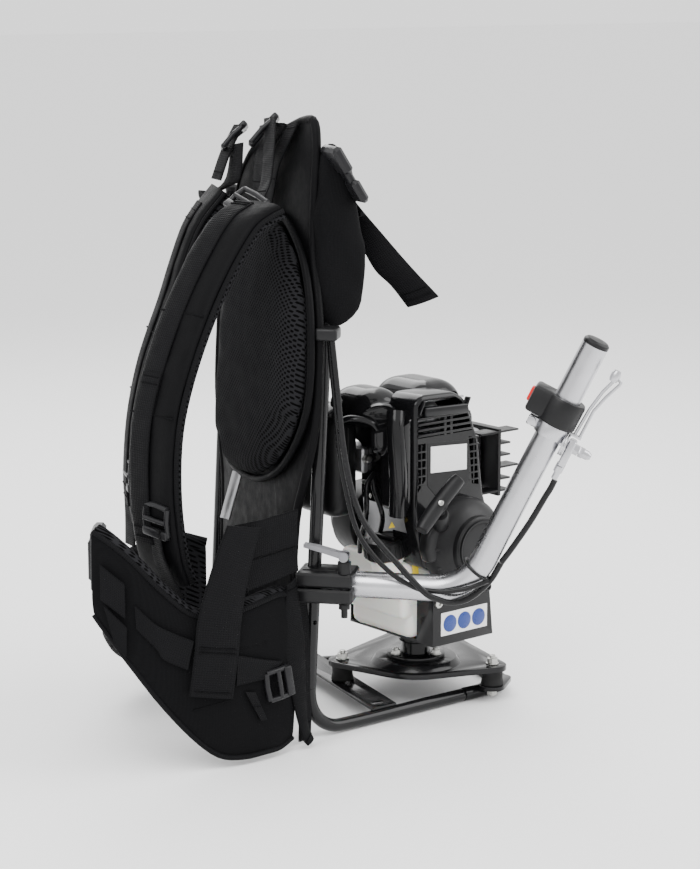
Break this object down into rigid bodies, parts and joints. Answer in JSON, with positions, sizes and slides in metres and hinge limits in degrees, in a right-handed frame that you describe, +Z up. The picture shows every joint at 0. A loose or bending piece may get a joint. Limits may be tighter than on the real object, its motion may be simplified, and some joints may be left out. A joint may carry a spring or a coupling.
{
  "type": "backpack concrete vibrator power unit",
  "caption": "Backpack drive unit for a poker vibrator: padded harness on a tube frame, small petrol engine on a swivelling rubber-mounted base, clamped handle with throttle and stop switch.",
  "frame": {"origin": "middle of the part's footprint, at the floor", "axes": "+Z up, +X from the wearer's back towards the engine, -Y towards the operator's handle"},
  "size_m": [0.482, 0.4117, 0.592],
  "materials": {
    "gloss_black": "gloss black powder coat",
    "moulded_black": "moulded black polymer",
    "cover_black": "gloss black moulded cover",
    "rubber_black": "moulded rubber",
    "zinc": "bright zinc plate",
    "steel": "bare steel",
    "alloy": "satin aluminium",
    "white_poly": "translucent white polythene",
    "clear_rubber": "clear soft rubber",
    "red": "red moulding",
    "grey": "grey moulding",
    "cable_black": "smooth black sheath",
    "cloth": "black woven fabric",
    "mesh": "black spacer mesh"
  },
  "bodies": {
    "frame": {"upright_near": "gloss_black", "upright_far": "gloss_black", "side_rail_near": "gloss_black", "side_rail_far": "gloss_black", "rear_rail": "gloss_black", "cross_member": "gloss_black", "crossbar": "gloss_black", "rubber_mount_front": "rubber_black", "rubber_mount_near": "rubber_black", "rubber_mount_far": "rubber_black", "mount_stud_front": "zinc", "mount_stud_near": "zinc", "mount_stud_far": "zinc", "base_plate": "gloss_black", "swivel_hub": "gloss_black", "hub_bolt_left": "zinc", "hub_bolt_right": "zinc", "hub_bolt_rear": "zinc", "back_panel": "cloth", "back_pad": "mesh", "top_pocket": "cloth", "shoulder_strap_near": "cloth", "shoulder_strap_far": "cloth", "belt_wing_near": "cloth", "belt_wing_far": "cloth", "belt_buckle": "moulded_black", "top_buckle": "moulded_black", "stay_bar": "steel", "throttle_cable": "cable_black", "switch_cable": "cable_black"},
    "engine": {"swivel_cap": "gloss_black", "engine_bracket": "gloss_black", "fuel_tank": "white_poly", "crankcase": "alloy", "cylinder": "alloy", "fan_cover": "moulded_black", "top_cover": "cover_black", "recoil_housing": "moulded_black", "clutch_housing": "moulded_black", "air_cleaner_cover": "moulded_black", "carburettor": "alloy", "muffler": "steel", "muffler_guard": "moulded_black"},
    "crank": {"crankshaft": "steel"},
    "starter_pulley": {"recoil_pulley": "moulded_black"},
    "starter": {"starter_grip": "moulded_black"},
    "filler_cap": {"fuel_cap": "moulded_black"},
    "primer": {"primer_bulb": "clear_rubber"},
    "choke": {"choke_lever": "moulded_black"},
    "clamp": {"clamp_upper": "moulded_black", "clamp_lower": "moulded_black", "clamp_bolt": "moulded_black"},
    "clamp_arm": {"clamp_lever": "grey"},
    "handle": {"handle_tube": "alloy", "handle_plug": "moulded_black", "switch_housing": "moulded_black", "throttle_bracket": "alloy", "throttle_cable_handle": "cable_black"},
    "rocker": {"kill_rocker": "red"},
    "throttle": {"throttle_lever": "alloy"}
  },
  "joints": [
    {"name": "engine_swivel", "type": "hinge", "parent": "frame", "child": "engine", "pos_m": [0.1317, 0.04615, 0.05], "axis": [0, 0, 1], "range_deg": [-15, 10]},
    {"name": "crank_spin", "type": "hinge", "parent": "engine", "child": "crank", "pos_m": [0.13653, 0.04744, 0.17], "axis": [-0.2588, 0.9659, 0], "continuous": true},
    {"name": "starter_pull", "type": "slide", "parent": "engine", "child": "starter", "axis": [-0.3404, -0.6602, 0.6695], "range_m": [0, 0.45], "stiffness_N_per_m": 20, "springref_m": -0.4},
    {"name": "pulley_spin", "type": "hinge", "parent": "engine", "child": "starter_pulley", "pos_m": [0.15439, -0.0192, 0.17], "axis": [-0.2588, 0.9659, 0], "range_deg": [0, 1040]},
    {"name": "filler_cap_turn", "type": "hinge", "parent": "engine", "child": "filler_cap", "pos_m": [0.08986, 0.02458, 0.15], "axis": [-0.1677, -0.0449, 0.9848], "range_deg": [0, 270]},
    {"name": "primer_press", "type": "slide", "parent": "engine", "child": "primer", "axis": [-0.2588, 0.9659, 0], "range_m": [0, 0.003], "stiffness_N_per_m": 1500},
    {"name": "choke_swing", "type": "hinge", "parent": "engine", "child": "choke", "pos_m": [0.07896, 0.04206, 0.254], "axis": [-0.2588, 0.9659, 0], "range_deg": [0, 60]},
    {"name": "clamp_swivel", "type": "hinge", "parent": "frame", "child": "clamp", "pos_m": [-0.01755, -0.03685, 0.155], "axis": [0.0499, 0, 0.9988], "range_deg": [-45, 12], "deforming": ["throttle_cable", "switch_cable"]},
    {"name": "clamp_arm_lift", "type": "hinge", "parent": "clamp", "child": "clamp_arm", "pos_m": [-0.00173, -0.07121, 0.186], "axis": [0.5878, 0.809, 0], "range_deg": [0, 100]},
    {"name": "handle_roll", "type": "hinge", "parent": "clamp", "child": "handle", "pos_m": [-0.01755, -0.03685, 0.155], "axis": [0.809, -0.5878, 0], "range_deg": [-25, 25]},
    {"name": "rocker_tilt", "type": "hinge", "parent": "handle", "child": "rocker", "pos_m": [0.14874, -0.15767, 0.34275], "axis": [0.5878, 0.809, 0], "range_deg": [-8, 8]},
    {"name": "throttle_turn", "type": "hinge", "parent": "handle", "child": "throttle", "pos_m": [0.17306, -0.17534, 0.29693], "axis": [0.7271, -0.5283, -0.4384], "range_deg": [0, 60]}
  ],
  "couplings": [
    {"joint": "pulley_spin", "follows": "starter_pull", "rad_per_m": 40}
  ]
}
